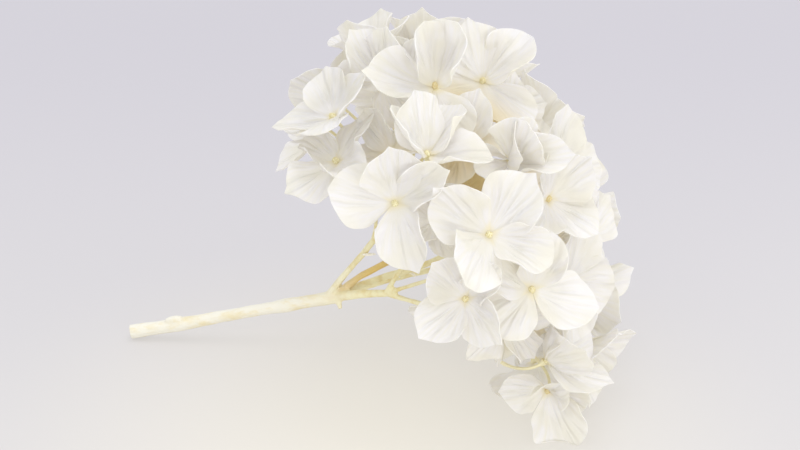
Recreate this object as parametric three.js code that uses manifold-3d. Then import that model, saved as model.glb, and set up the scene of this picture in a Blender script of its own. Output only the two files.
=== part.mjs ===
// Cut hydrangea: one dried, bleached mophead bloom on its bare stalk, lying on its side.
// Millimetres, +Z up, the bloom at +X and the cut end at -X. The stalk is one main stem that
// forks into branches, every branch ends in spurs, and every spur carries one four-sepal floret.
import * as THREE from "three";
import { mergeVertices } from "three/addons/utils/BufferGeometryUtils.js";
import Module from "manifold-3d";

const wasm = await Module();
wasm.setup();

const v3 = (x, y, z) => new THREE.Vector3(x, y, z);
const UP = v3(0, 0, 1);
const RAD = Math.PI / 180;

// ---------------------------------------------------------------- driving dimensions
// the dome that the floret eyes sit on
const HEAD_CENTRE = v3(15, -17, 55);
const HEAD_AXIS = v3(0.7, -0.25, 0.67).normalize(); // from the stalk out through the crown
const HEAD_RADIUS = 62; // across the axis
const HEAD_DEPTH = 48; // along the axis
const RIM_POLAR = 108; // degrees from the crown to the last row of florets
const SEEDED = 84; // evenly spread seats tried over the whole dome
const SEAT_SPACING = 16.5; // least distance between two floret eyes
const MOST_FLORETS = 50;
const LOWEST_EYE = 8; // an eye never sits nearer the surface than this
const MOST_NUDGE = 14; // how far a chosen floret may be changed to find room
const MOST_SEEDED_NUDGE = 9; // and one of the evenly spread ones

// a floret
const SEPAL_LENGTH = 20.5;
const SEPAL_HALF_WIDTH = 0.44; // of its length, at the shoulders
const SEPAL_SHOULDER = 0.74; // of its length
const SEPAL_NOTCH = 0.58; // of its length, where neighbours part
const SEPAL_THICKNESS = 0.6;
const EYE_RADIUS = 2.1;
const BUD_RADIUS = 1.5;
const BUD_HEIGHT = 2.6;
const PEDICEL_RADIUS = 0.65;
const PEDICEL_START = 0.42; // share of the way from the branch to the eye that is spur

// the stalk
const STEM_RADIUS = 2.45;
const BRANCH_RADIUS = 1.75;
const TWIG_RADIUS = 1.25;
const SPUR_RADIUS = 0.85;
const SEAT_GAP = 0.3; // clearance between pieces that touch

// ---------------------------------------------------------------- the head as a frame
const HEAD_UP = UP.clone().addScaledVector(HEAD_AXIS, -UP.dot(HEAD_AXIS)).normalize();
const HEAD_SIDE = HEAD_AXIS.clone().cross(HEAD_UP).normalize();

// point on the dome: bearing round the axis from its upper side, polar angle from the crown
function domePoint(bearing, polar, out) {
  const across = (HEAD_RADIUS + out) * Math.sin(polar * RAD);
  const p = HEAD_CENTRE.clone();
  p.addScaledVector(HEAD_AXIS, (HEAD_DEPTH + out) * Math.cos(polar * RAD));
  p.addScaledVector(HEAD_UP, across * Math.cos(bearing * RAD));
  p.addScaledVector(HEAD_SIDE, across * Math.sin(bearing * RAD));
  return p;
}

function domeNormal(bearing, polar) {
  const n = HEAD_AXIS.clone().multiplyScalar(Math.cos(polar * RAD) / HEAD_DEPTH);
  n.addScaledVector(HEAD_UP, (Math.sin(polar * RAD) * Math.cos(bearing * RAD)) / HEAD_RADIUS);
  n.addScaledVector(HEAD_SIDE, (Math.sin(polar * RAD) * Math.sin(bearing * RAD)) / HEAD_RADIUS);
  return n.normalize();
}

// direction from a turn to the right of -Y and a rise above the level
function facing(turn, rise) {
  const level = Math.cos(rise * RAD);
  return v3(level * Math.sin(turn * RAD), -level * Math.cos(turn * RAD), Math.sin(rise * RAD));
}

// ---------------------------------------------------------------- solids
function toSolid(geometry) {
  const g = geometry.clone();
  g.deleteAttribute("normal");
  g.deleteAttribute("uv");
  const m = mergeVertices(g, 1e-4);
  return new wasm.Manifold(
    new wasm.Mesh({
      numProp: 3,
      vertProperties: Float32Array.from(m.attributes.position.array),
      triVerts: Uint32Array.from(m.index.array),
    }),
  );
}

function toGeometry(solid) {
  const mesh = solid.getMesh();
  const g = new THREE.BufferGeometry();
  g.setAttribute("position", new THREE.BufferAttribute(Float32Array.from(mesh.vertProperties), 3));
  g.setIndex(Array.from(mesh.triVerts));
  g.computeVertexNormals();
  return g;
}

// the biggest of the bodies that a cut leaves
function mainBody(solid) {
  const bodies = solid.decompose();
  bodies.sort((a, b) => b.volume() - a.volume());
  return bodies[0];
}

// a round limb along a curve whose radius changes along its length
function limb(curve, radiusAt, sides, steps, grow = 0) {
  const circle = new THREE.Shape();
  for (let i = 0; i < sides; i++) {
    const a = (2 * Math.PI * i) / sides;
    if (i === 0) circle.moveTo(Math.cos(a), Math.sin(a));
    else circle.lineTo(Math.cos(a), Math.sin(a));
  }
  circle.closePath();
  const g = new THREE.ExtrudeGeometry(circle, { steps, extrudePath: curve, bevelEnabled: false });
  const centres = [];
  for (let i = 0; i <= steps; i++) centres.push(curve.getPointAt(i / steps));
  const pos = g.attributes.position;
  const p = v3();
  for (let i = 0; i < pos.count; i++) {
    p.fromBufferAttribute(pos, i);
    let near = 0;
    for (let k = 1; k <= steps; k++) {
      if (centres[k].distanceToSquared(p) < centres[near].distanceToSquared(p)) near = k;
    }
    p.sub(centres[near]).setLength(radiusAt(near / steps) + grow).add(centres[near]);
    if (near === 0) p.addScaledVector(curve.getTangentAt(0), -grow);
    if (near === steps) p.addScaledVector(curve.getTangentAt(1), grow);
    pos.setXYZ(i, p.x, p.y, p.z);
  }
  return toSolid(g);
}

const spline = (...points) => new THREE.CatmullRomCurve3(points.map((p) => v3(...p)));
const taper = (from, to) => (t) => from + (to - from) * t;

// ---------------------------------------------------------------- one floret
// rings of points are joined into one closed skin; a ring may double or halve the one before
function stitch(faces, a, b) {
  if (a.length === b.length) {
    for (let i = 0; i < a.length; i++) {
      const j = (i + 1) % a.length;
      faces.push([a[i], b[i], b[j]], [a[i], b[j], a[j]]);
    }
  } else if (b.length === 2 * a.length) {
    for (let i = 0; i < a.length; i++) {
      const j = (i + 1) % a.length;
      const k = (2 * i + 2) % b.length;
      faces.push([a[i], b[2 * i], b[2 * i + 1]]);
      faces.push([a[i], b[2 * i + 1], a[j]]);
      faces.push([a[j], b[2 * i + 1], b[k]]);
    }
  } else {
    for (let i = 0; i < b.length; i++) {
      const j = (i + 1) % b.length;
      const k = (2 * i + 2) % a.length;
      faces.push([a[2 * i], b[i], a[2 * i + 1]]);
      faces.push([a[2 * i + 1], b[i], b[j]]);
      faces.push([a[2 * i + 1], b[j], a[k]]);
    }
  }
}

// directions in the plane of a floret that faces n: to the right, and upwards
function planeOf(n) {
  const right = UP.clone().cross(n);
  if (right.length() < 1e-3) right.set(1, 0, 0);
  right.normalize();
  return [right, n.clone().cross(right).normalize()];
}

// point of sepal k: share along it, and share of its length across it
function sepalPoint(f, k, along, across) {
  const [right, up] = planeOf(f.face);
  const a = (f.roll + 90 * k + f.fan[k]) * RAD;
  const out = right.clone().multiplyScalar(Math.cos(a)).addScaledVector(up, Math.sin(a));
  const side = f.face.clone().cross(out).normalize();
  const length = SEPAL_LENGTH * f.span * f.reach[k];
  const rise = (f.lift[k] + f.cup) * RAD;
  const half = Math.min(along, 0.5);
  const rest = along - half;
  const curl = rise + f.curl * RAD;
  const p = f.eye.clone();
  p.addScaledVector(out, length * (half * Math.cos(rise) + rest * Math.cos(curl)));
  p.addScaledVector(f.face, length * (half * Math.sin(rise) + rest * Math.sin(curl)));
  p.addScaledVector(side, length * across);
  p.addScaledVector(f.face, length * 0.35 * across * across * Math.cos(rise));
  return p;
}

// the two rings of sixteen points of the four sepals: tip, shoulder, notch, shoulder, and so on
function sepalRing(f, along, shoulder, half, notch) {
  const ring = [];
  for (let k = 0; k < 4; k++) {
    const next = (k + 1) % 4;
    ring.push(sepalPoint(f, k, along, 0));
    ring.push(sepalPoint(f, k, shoulder, half));
    const a = sepalPoint(f, k, notch * 0.72, notch * 0.68);
    const b = sepalPoint(f, next, notch * 0.72, -notch * 0.68);
    ring.push(a.add(b).multiplyScalar(0.5));
    ring.push(sepalPoint(f, next, shoulder, -half));
  }
  return ring;
}

function flatRing(f, radius, height, count) {
  const [right, up] = planeOf(f.face);
  const ring = [];
  for (let i = 0; i < count; i++) {
    const a = (f.roll + (360 * i) / count) * RAD;
    const p = f.eye.clone().addScaledVector(f.face, height);
    p.addScaledVector(right, radius * Math.cos(a)).addScaledVector(up, radius * Math.sin(a));
    ring.push(p);
  }
  return ring;
}

function pedicelCurve(f) {
  const neck = f.eye.clone().addScaledVector(f.face, -3);
  const bend = neck.clone().addScaledVector(f.face, -0.4 * neck.distanceTo(f.node));
  return new THREE.QuadraticBezierCurve3(f.node.clone(), bend, neck);
}

function pedicelRings(f, from, radius) {
  const curve = pedicelCurve(f);
  const rings = [];
  const steps = 3;
  const turned = new THREE.Quaternion();
  let last = f.face.clone();
  let [right, up] = planeOf(f.face);
  for (let s = 0; s <= steps; s++) {
    const t = 1 - ((1 - from) * s) / steps;
    const along = curve.getTangent(t).normalize();
    turned.setFromUnitVectors(last, along);
    right = right.clone().applyQuaternion(turned);
    up = up.clone().applyQuaternion(turned);
    last = along;
    const centre = curve.getPoint(t);
    const ring = [];
    for (let i = 0; i < 8; i++) {
      const a = (f.roll + 45 * i) * RAD;
      const p = centre.clone().addScaledVector(right, radius * Math.cos(a));
      ring.push(p.addScaledVector(up, radius * Math.sin(a)));
    }
    rings.push(ring);
  }
  return rings;
}

// closed skin of one floret: bud, four cupped sepals and the pedicel down to its spur
function floretGeometry(f, from = PEDICEL_START, grow = 0) {
  const mids = [flatRing(f, EYE_RADIUS, 0, 8)];
  mids.push(sepalRing(f, 0.52, 0.44, 0.24, 0.36));
  mids.push(sepalRing(f, 1, SEPAL_SHOULDER, SEPAL_HALF_WIDTH, SEPAL_NOTCH));
  const patch = [];
  stitch(patch, mids[0], mids[1]);
  stitch(patch, mids[1], mids[2]);
  const normals = new Map();
  for (const ring of mids) for (const p of ring) normals.set(p, v3());
  for (const [a, b, c] of patch) {
    const n = b.clone().sub(a).cross(c.clone().sub(a));
    for (const p of [a, b, c]) normals.get(p).add(n);
  }
  const half = SEPAL_THICKNESS / 2 + grow;
  const top = [];
  const under = [];
  for (const ring of mids.slice(1)) {
    const over = [];
    const below = [];
    for (const p of ring) {
      const n = normals.get(p).normalize();
      const a = p.clone().addScaledVector(n, half);
      const b = p.clone().addScaledVector(n, -half);
      // a sepal that meets the surface lies down on it
      const low = a.z < b.z ? a : b;
      const high = a.z < b.z ? b : a;
      low.z = Math.max(low.z, -grow);
      high.z = Math.max(high.z, low.z + 2 * half * Math.abs(n.z));
      over.push(a);
      below.push(b);
    }
    top.push(over);
    under.push(below);
  }
  const apex = f.eye.clone().addScaledVector(f.face, BUD_HEIGHT + grow);
  const rings = [
    flatRing(f, BUD_RADIUS + grow, BUD_HEIGHT * 0.7, 8),
    flatRing(f, EYE_RADIUS + grow, half, 8),
    top[0],
    top[1],
    under[1],
    under[0],
    flatRing(f, EYE_RADIUS * 0.8 + grow, -1.3 - grow, 8),
    ...pedicelRings(f, from, PEDICEL_RADIUS + grow),
  ];
  const foot = rings[rings.length - 1];
  const end = v3();
  for (const p of foot) end.addScaledVector(p, 1 / foot.length);
  const faces = [];
  for (let i = 0; i < 8; i++) faces.push([apex, rings[0][i], rings[0][(i + 1) % 8]]);
  for (let i = 1; i < rings.length; i++) stitch(faces, rings[i - 1], rings[i]);
  for (let i = 0; i < 8; i++) faces.push([end, foot[(i + 1) % 8], foot[i]]);
  const points = [apex, ...rings.flat(), end];
  const number = new Map(points.map((p, i) => [p, i]));
  const g = new THREE.BufferGeometry();
  g.setAttribute("position", new THREE.Float32BufferAttribute(points.flatMap((p) => [p.x, p.y, p.z]), 3));
  g.setIndex(faces.flatMap((t) => t.map((p) => number.get(p))));
  g.computeVertexNormals();
  return g;
}

// ---------------------------------------------------------------- the stalk's plan
// each branch: its limbs as routes, and the points where its florets' spurs start
const BRANCHES = [
  {
    name: "branch_lower_front",
    limbs: [
      { via: [[-23, 0.4, 17.2], [-14, -4, 21], [-5, -9, 24]], r: [1.9, 1.4] },
      { via: [[-5, -9, 24], [1, -15, 38], [6, -22, 50]], r: [0.95, 0.7] },
      { via: [[-5, -9, 24], [6, -18, 33], [17, -27, 42]], r: [1.05, 0.75] },
      { via: [[-5, -9, 24], [8, -20, 26], [22, -31, 29]], r: [1.0, 0.75] },
    ],
    nodes: [[6, -22, 50], [17, -27, 42], [22, -31, 29]],
  },
  {
    name: "branch_upper_left",
    limbs: [
      { via: [[-26, 0.4, 17], [-19.5, -1.5, 27], [-12.4, -4, 37], [-9.7, -6, 42]], r: [1.2, 1.0] },
      { via: [[-9.7, -6, 42], [-8.5, -9, 48], [-8, -14, 58]], r: [0.9, 0.7] },
      { via: [[-9.7, -6, 42], [-4, -12, 51], [1, -18, 60]], r: [0.95, 0.7] },
    ],
    nodes: [[-8, -14, 58], [1, -18, 60]],
  },
  {
    name: "branch_middle",
    limbs: [
      { via: [[-23.5, 1, 17.2], [-13, 0.6, 26], [-2, -2, 34], [6, -4, 43]], r: [1.4, 1.15] },
      { via: [[6, -4, 43], [10, -4, 50], [13, -5, 60]], r: [1.1, 0.8] },
    ],
    nodes: [[13, -5, 60], [6, -4, 43]],
  },
  {
    name: "branch_centre",
    limbs: [
      { via: [[-22, 1.5, 17.5], [-8, 3, 23], [10, -2, 32], [24, -8, 44]], r: [1.5, 1.1] },
      { via: [[24, -8, 44], [29, -12, 50], [33, -16, 56]], r: [1.0, 0.8] },
      { via: [[24, -8, 44], [32, -14, 44], [40, -20, 42]], r: [1.0, 0.8] },
    ],
    nodes: [[33, -16, 56], [40, -20, 42]],
  },
  {
    name: "branch_lower_back",
    limbs: [
      { via: [[-23, 1.6, 16.6], [-9, 8, 18.5], [12, 12, 22]], r: [1.5, 1.1] },
      { via: [[12, 12, 22], [24, 11, 26], [36, 6, 29]], r: [1.0, 0.8] },
      { via: [[12, 12, 22], [20, 18, 26], [26, 20, 38]], r: [1.0, 0.75] },
    ],
    nodes: [[36, 6, 29], [26, 20, 38]],
  },
  {
    name: "branch_upper_back",
    limbs: [
      { via: [[-25.5, 1.4, 17.4], [-16, 7, 27], [-7, 10, 38], [-2, 12, 48]], r: [1.3, 1.0] },
      { via: [[-2, 12, 48], [0, 13, 54], [4, 12, 62]], r: [0.95, 0.75] },
    ],
    nodes: [[4, 12, 62], [-2, 12, 48]],
  },
];

const STEM_FOOT = [[-95, 1.6, 2.5], [-78, 1.4, 5.6], [-58, 1, 10]];
const STEM_ROUTE = spline(...STEM_FOOT, [-40, 0.6, 13.8], [-21.5, 0.6, 17.4]);

// a slightly swollen foot, a worn node and the swelling under the fork
function stemRadius(t) {
  const knot = (at, wide, high) => high * Math.exp(-(((t - at) / wide) ** 2));
  const knots = knot(0, 0.1, 0.2) + knot(0.24, 0.05, 0.3) + knot(0.76, 0.05, 0.6) + knot(0.95, 0.1, 0.5);
  return STEM_RADIUS - 0.5 * t + knots;
}

// the main stem with the scar of a stripped leaf on top and the stub of a lost side shoot below
function stemWhole(grow) {
  const scar = new THREE.SphereGeometry(1, 10, 6);
  scar.scale(3.6 + grow, 1.5 + grow, 1.3 + grow);
  scar.rotateY(-10 * RAD);
  scar.translate(-79.5, 1, 7.9);
  const stubRoute = spline([-22, 0.4, 17], [-21.2, -1.4, 15.4], [-20.8, -2.4, 14]);
  const stub = limb(stubRoute, taper(1.2, 0.8), 6, 2, grow);
  return limb(STEM_ROUTE, stemRadius, 10, 16, grow).add(toSolid(scar)).add(stub);
}

// ---------------------------------------------------------------- the florets' plan
// seat: bearing, polar angle, and how far out from the dome; face: turn and rise of its axis;
// roll: the first sepal's angle; fan: what each sepal is turned from its quarter;
// lift: each sepal's angle towards the front; span: size against the usual one;
// reach: each sepal's length against that of its floret
const BACK_LONG = [1.16, 1.06, 1.1, 1];
const UNEVEN = [0.74, 0.95, 0.72, 0.7];
const CHOSEN = [
  { seat: [92, 43, 6], face: [6, 30], roll: 50, fan: [0, 0, 4, 12], lift: [10, 14, 38, 10], span: 1.06 },
  { seat: [102, 60, 0], face: [-14, 16], roll: 323, fan: [0, -3, -14, -8],
    lift: [12, 12, 22, 16], span: 0.95 },
  { seat: [66, 60, 2], face: [-6, 18], roll: 97, fan: [0, -16, 14, 28], lift: [24, 4, 18, 16] },
  { seat: [53, 47, 4], face: [0, 78], roll: 348, fan: [0, -28, -50, -72], lift: [0, 10, 50, 42] },
  { seat: [14, 42, 2], face: [0, 72], roll: 40, fan: [0, -16, -30, -20],
    lift: [62, 64, 20, -30], reach: BACK_LONG },
  { seat: [152, 41, -2], face: [50, 20], roll: 60, lift: [10, 14, 6, 10], span: 0.95 },
  { seat: [121, 45, 2], face: [16, 52], roll: 55, fan: [0, -14, -36, -2], lift: [48, 34, -2, -10] },
  { seat: [33, 31, -3], face: [8, 66], roll: 340, fan: [0, -10, -20, -10],
    lift: [2, 44, 26, -6], span: 0.86 },
  { seat: [155, 81.5, 5], face: [-10, 0], roll: 185, fan: [0, 25, -5, -45],
    lift: [10, 20, 10, 50], reach: UNEVEN },
  { seat: [150, 72, 0], face: [80, 34], roll: 90, lift: [6, 18, 4, 0], span: 1.0 },
  { seat: [8, 62, -2], face: [-30, 60], roll: 80, fan: [0, -20, -36, -30],
    lift: [56, 44, 8, -4], span: 0.92 },
  { seat: [22, 81, -1], face: [-66, 52], roll: 150, lift: [8, 14, 24, 16], span: 0.88 },
  { seat: [-30, 36, -3], face: [24, 58], roll: 105, lift: [48, 16, 6, 40], span: 1.06 },
  { seat: [128, 15, -2], face: [34, 38], roll: 300, fan: [0, 0, -12, 0],
    lift: [4, 20, 40, 16], span: 0.92 },
  { seat: [65, 16, -3], face: [16, 56], roll: 330, fan: [0, -12, -20, -10],
    lift: [6, 44, 44, -4], span: 0.95 },
  { seat: [128, 60, -7], face: [22, -14], roll: 20, lift: [10, 8, 10, 8], span: 0.8 },
  { seat: [-3, 57, -4], face: [-24, 56], roll: 70, lift: [34, 34, 16, 16], span: 0.9 },
  { seat: [36, 80, -7], face: [-58, 50], roll: 165, lift: [10, 16, 18, 10], span: 0.85 },
  { seat: [-122, 14, -5], face: [60, 38], roll: 60, lift: [24, 8, 24, 8], span: 0.92 },
  { seat: [-46, 32, -6], face: [52, 52], roll: 80, lift: [18, 10, 18, 10], span: 0.9 },
  { seat: [-165, 21, -5], face: [68, 22], roll: 0, lift: [14, 8, 14, 8], span: 0.9 },
  { seat: [175, 76, 0], face: [56, -22], roll: 30, lift: [10, 10, 20, 10], span: 0.92 },
  { seat: [-177, 68, -6], face: [74, -12], roll: 70, lift: [8, 4, 8, 4], span: 0.88 },
  { seat: [-151, 48, -7], face: [80, 8], roll: 20, lift: [14, 8, 14, 8], span: 0.95 },
  { seat: [-172, 50, -9], face: [68, 4], roll: 50, lift: [4, 2, 4, 2], span: 0.85 },
  { seat: [108, 70, -13], face: [-8, -24], roll: 10, lift: [20, 24, 20, 24], span: 0.6 },
  { seat: [75, 52, -10], face: [6, 38], roll: 30, lift: [14, 8, 14, 8], span: 0.75 },
  { seat: [150, 28, -9], face: [50, 26], roll: 10, lift: [14, 8, 14, 8], span: 0.8 },
  { seat: [40, 62, -14], face: [-20, 30], roll: 20, lift: [14, 8, 14, 8], span: 0.75 },
  { seat: [70, 34, -13], face: [10, 40], roll: 50, lift: [14, 8, 14, 8], span: 0.75 },
  { seat: [140, 66, -11], face: [30, -14], roll: 40, lift: [14, 8, 14, 8], span: 0.7 },
];

// the rest of the dome is filled evenly round its axis, facing straight out of it
function seededSeats() {
  const seats = [];
  const golden = 180 * (3 - Math.sqrt(5));
  const lowest = Math.cos(RIM_POLAR * RAD);
  for (let i = 0; i < SEEDED; i++) {
    const polar = Math.acos(1 - ((i + 0.5) / SEEDED) * (1 - lowest)) / RAD;
    const bearing = ((i * golden + 180) % 360) - 180;
    const out = [-1, -5, 0, -3, -7, -2][i % 6] - (polar < 55 ? 7 : 1);
    const face = domeNormal(bearing, polar);
    const span = [0.98, 0.9, 1, 0.94][i % 4];
    const roll = (i * 37) % 90;
    seats.push({ seat: [bearing, polar, out], normal: face, roll, lift: [14, 5, 14, 5], span });
  }
  return seats;
}

function nearestNode(eye) {
  let best = null;
  for (const branch of BRANCHES) {
    for (const node of branch.nodes) {
      const d = v3(...node).distanceTo(eye);
      if (!best || d < best.d) best = { d, branch, node: v3(...node) };
    }
  }
  return best;
}

// small changes tried in turn, the least first, until a floret is clear of those in place
function nudges() {
  const list = [];
  const slides = [[0, 0], [3, 0], [-3, 0], [0, 3], [0, -3]];
  for (const out of [0, 2, -2, 4, -4, 7, -7, -11]) {
    for (const turn of [0, 14, -14, 30]) {
      for (const cup of [0, 10, 22, 36]) {
        for (const span of [1, 0.9, 0.8, 0.7]) {
          for (const slide of slides) {
            const moved = Math.abs(slide[0]) + Math.abs(slide[1]);
            const cost = Math.abs(out) + Math.abs(turn) / 10 + cup / 9 + (1 - span) * 28 + moved / 2;
            if (cost < MOST_NUDGE) list.push({ out, turn, cup, span, slide, cost });
          }
        }
      }
    }
  }
  return list.sort((a, b) => a.cost - b.cost);
}

const NUDGES = nudges();

function clearOf(solid, others) {
  const box = solid.boundingBox();
  for (const o of others) {
    let apart = false;
    for (let k = 0; k < 3; k++) apart = apart || box.min[k] > o.box.max[k] || box.max[k] < o.box.min[k];
    if (apart) continue;
    const shared = solid.intersect(o.solid);
    const volume = shared.volume();
    shared.delete();
    if (volume > 1e-4) return false;
  }
  return true;
}

const placed = [];

function seatFloret(plan, limbsInPlace, most) {
  const [bearing, polar, out] = plan.seat;
  const face = plan.normal ? plan.normal.clone() : facing(...plan.face);
  for (const n of NUDGES) {
    if (n.cost > most) break;
    const eye = domePoint(bearing, polar, out);
    const [right, up] = planeOf(face);
    eye.addScaledVector(face, n.out).addScaledVector(right, n.slide[0]).addScaledVector(up, n.slide[1]);
    eye.z = Math.max(eye.z, LOWEST_EYE);
    const near = nearestNode(eye);
    const f = {
      eye,
      face,
      roll: plan.roll + n.turn,
      lift: plan.lift,
      cup: n.cup,
      curl: plan.curl ?? 6,
      fan: plan.fan ?? [0, 0, 0, 0],
      reach: plan.reach ?? [1, 1, 1, 1],
      span: (plan.span ?? 1) * n.span,
      node: near.node,
      branch: near.branch,
    };
    const grown = toSolid(floretGeometry(f, 0.28, SEAT_GAP / 2 + 0.05));
    const free = clearOf(grown, placed) && clearOf(grown, limbsInPlace);
    grown.delete();
    if (!free) continue;
    const solid = toSolid(floretGeometry(f, 0.28, 0.05));
    placed.push({ f, solid, box: solid.boundingBox() });
    return;
  }
}

// ---------------------------------------------------------------- assembly
const stemSolid = stemWhole(0);
const stemGrown = stemWhole(SEAT_GAP);

function branchLimbs(branch, grow) {
  let whole = null;
  for (const { via, r } of branch.limbs) {
    const piece = limb(spline(...via), taper(r[0], r[1]), 8, 6, grow);
    whole = whole ? whole.add(piece) : piece;
  }
  return whole;
}

const limbsInPlace = [stemSolid, ...BRANCHES.map((b) => branchLimbs(b, 0))].map((solid) => ({
  solid,
  box: solid.boundingBox(),
}));

for (const plan of CHOSEN) {
  seatFloret(plan, limbsInPlace, MOST_NUDGE);
}
for (const plan of seededSeats()) {
  if (placed.length >= MOST_FLORETS) break;
  const eye = domePoint(...plan.seat);
  const crowded = placed.some((p) => p.f.eye.distanceTo(eye) < SEAT_SPACING);
  const [bearing, polar] = plan.seat;
  const open = polar > 66 && bearing > 12 && bearing < 168;
  if (!crowded && !open) seatFloret(plan, limbsInPlace, MOST_SEEDED_NUDGE);
}

// a branch with the spurs of its florets, trimmed clear of what was made before it
function branchSolid(branch, before) {
  let whole = branchLimbs(branch, 0);
  for (const { f } of placed) {
    if (f.branch !== branch) continue;
    const curve = pedicelCurve(f);
    const stop = PEDICEL_START - SEAT_GAP / curve.getLength();
    const part = new THREE.CatmullRomCurve3([0, 0.33, 0.67, 1].map((t) => curve.getPoint(t * stop)));
    whole = whole.add(limb(part, taper(SPUR_RADIUS, PEDICEL_RADIUS), 5, 2));
  }
  whole = whole.simplify(0.12);
  for (const solid of before) whole = whole.subtract(solid);
  return mainBody(whole);
}

const sepalMaterial = new THREE.MeshStandardMaterial({ color: 0xf4f2ea, roughness: 0.6, metalness: 0 });
const branchMaterial = new THREE.MeshStandardMaterial({ color: 0xe3d3a0, roughness: 0.65, metalness: 0 });
const stemMaterial = new THREE.MeshStandardMaterial({ color: 0xefe8d2, roughness: 0.7, metalness: 0 });

const pieces = [];

function addPiece(name, geometry, material) {
  const mesh = new THREE.Mesh(geometry, material);
  mesh.name = name;
  pieces.push(mesh);
}

addPiece("main_stem", toGeometry(stemSolid), stemMaterial);
const grownSoFar = [stemGrown];
for (const branch of BRANCHES) {
  addPiece(branch.name, toGeometry(branchSolid(branch, grownSoFar)), branchMaterial);
  grownSoFar.push(branchLimbs(branch, SEAT_GAP));
}
placed.forEach(({ f }, i) => {
  const name = "floret_" + String(i + 1).padStart(2, "0");
  addPiece(name, floretGeometry(f), sepalMaterial);
});

// the origin lies on the surface under the middle of the whole
const box = new THREE.Box3();
for (const mesh of pieces) {
  mesh.geometry.computeBoundingBox();
  box.union(mesh.geometry.boundingBox);
}
const middle = box.getCenter(v3());
const flower = new THREE.Group();
for (const mesh of pieces) {
  mesh.geometry.translate(-middle.x, -middle.y, -box.min.z);
  flower.add(mesh);
}

export default flower;
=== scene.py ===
import math
import random

import bmesh
import bpy
import numpy as np
from bpy.props import FloatProperty, FloatVectorProperty, PointerProperty
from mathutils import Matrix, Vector
from mathutils.bvhtree import BVHTree


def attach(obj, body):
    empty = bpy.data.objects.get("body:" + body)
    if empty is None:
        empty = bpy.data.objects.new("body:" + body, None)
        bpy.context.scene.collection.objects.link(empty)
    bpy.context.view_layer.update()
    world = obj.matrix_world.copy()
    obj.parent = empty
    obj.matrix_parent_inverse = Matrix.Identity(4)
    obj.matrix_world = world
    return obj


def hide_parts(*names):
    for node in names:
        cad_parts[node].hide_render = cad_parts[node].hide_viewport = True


bl_info = {
    "name": "Cut Hydrangea",
    "version": (1, 0, 0),
    "blender": (4, 5, 0),
    "location": "3D View > Sidebar > Hydrangea",
    "description": "Builds a cut and dried white hydrangea lying on a pale surface",
    "category": "Object",
}

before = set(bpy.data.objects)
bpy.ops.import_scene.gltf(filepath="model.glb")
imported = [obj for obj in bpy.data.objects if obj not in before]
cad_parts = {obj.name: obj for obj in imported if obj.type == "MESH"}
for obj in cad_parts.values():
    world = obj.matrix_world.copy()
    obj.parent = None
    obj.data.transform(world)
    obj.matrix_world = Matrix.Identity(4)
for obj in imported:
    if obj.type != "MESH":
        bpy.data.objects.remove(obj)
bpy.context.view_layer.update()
FLORETS = sorted(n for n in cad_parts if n.startswith("floret_"))
STALK_NODES = sorted(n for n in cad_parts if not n.startswith("floret_"))
MM = 0.001

# a sepal: the rows and columns of its mesh, and the shares of its length at which its plain solid
# has its middle and its shoulders
SEPAL_COLUMNS = 22
SEPAL_ROWS = 26
MIDDLE = 0.52
SHOULDER = 0.74
EYE_DEPTH = 0.3 * MM  # of a floret's eye below the skin round it
CLAW = 0.9 * MM  # from the eye to where the blade begins
PAINTED_SHADE_DEPTH = 14 * MM  # below the florets' eyes, where the sepals' painted shade is at its strongest and creamiest
FULL_TURN = 6.28  # of a wave, in radians

# the stalks of the florets
PEDICEL_SIDES = 12
PEDICEL_STEPS = 22
PEDICEL_FOOT = 0.9 * MM  # how far the foot runs into its branch

# the curled bract, as it leaves its branch
BRACT_ROWS = 18
BRACT_START = math.radians(15)
BRACT_TURN = math.radians(150)
BRACT_WAY = (0.78, -0.55, 0.3)
BRACT_OVER = (-0.2, -0.3, 0.93)

# the stunted growths: name, branch, the setting that says where, size and lean in millimetres
STUNTED = (
    ("stunted_bud", "branch_upper_left", "bud_at", (2.6, 2.2, 2.8), (0.2, -0.35, 0.0)),
    ("stunted_spur", "branch_upper_left", "spur_at", (4.6, 1.1, 0.9), (1.38, -0.35, 0.0)),
)

# the soft lights: name, place, the point it is aimed at, width, power and tint
SOFTBOXES = (
    ("top_softbox", (0.15, 0.12, 1.15), (0.01, 0.0, 0.03), 0.9, 3.6, (1.0, 0.99, 0.975)),
    ("side_softbox", (1.0, -0.3, 0.65), (0.02, 0.0, 0.06), 0.8, 2.4, (1.0, 0.99, 0.98)),
    ("low_card", (0.3, -0.9, 0.14), (0.03, 0.0, 0.05), 0.5, 3.0, (1.0, 0.995, 0.98)),
    ("front_softbox", (-0.55, -1.0, 0.9), (0.01, 0.0, 0.06), 0.8, 1.3, (1.0, 0.995, 0.985)),
)
FLOOR_SIZE = 6.0
SENSOR_MM = 36.0


def linear(code):
    """The linear colour of an sRGB hex code."""
    parts = [int(code[i : i + 2], 16) / 255 for i in (1, 3, 5)]
    return tuple(c / 12.92 if c <= 0.04045 else ((c + 0.055) / 1.055) ** 2.4 for c in parts)


# ---------------------------------------------------------------- settings


def length(name, description, default):
    """A setting in metres."""
    return FloatProperty(
        name=name, description=description, default=default, min=0.0, unit="LENGTH", precision=5
    )


def colour(name, description, code):
    """A colour setting, given as sRGB hex."""
    return FloatVectorProperty(
        name=name, description=description, default=linear(code), subtype="COLOR", min=0.0, max=1.0
    )


def share(name, description, default, most=1.0):
    """A setting that is a share of something."""
    return FloatProperty(
        name=name, description=description, default=default, min=0.0, max=most, subtype="FACTOR"
    )


def angle(name, description, degrees):
    """A setting that is an angle."""
    return FloatProperty(name=name, description=description, default=math.radians(degrees), subtype="ANGLE")


def spot(name, description, at):
    """A setting that is a point, in metres."""
    return FloatVectorProperty(
        name=name, description=description, default=at, subtype="TRANSLATION", unit="LENGTH"
    )


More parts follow.
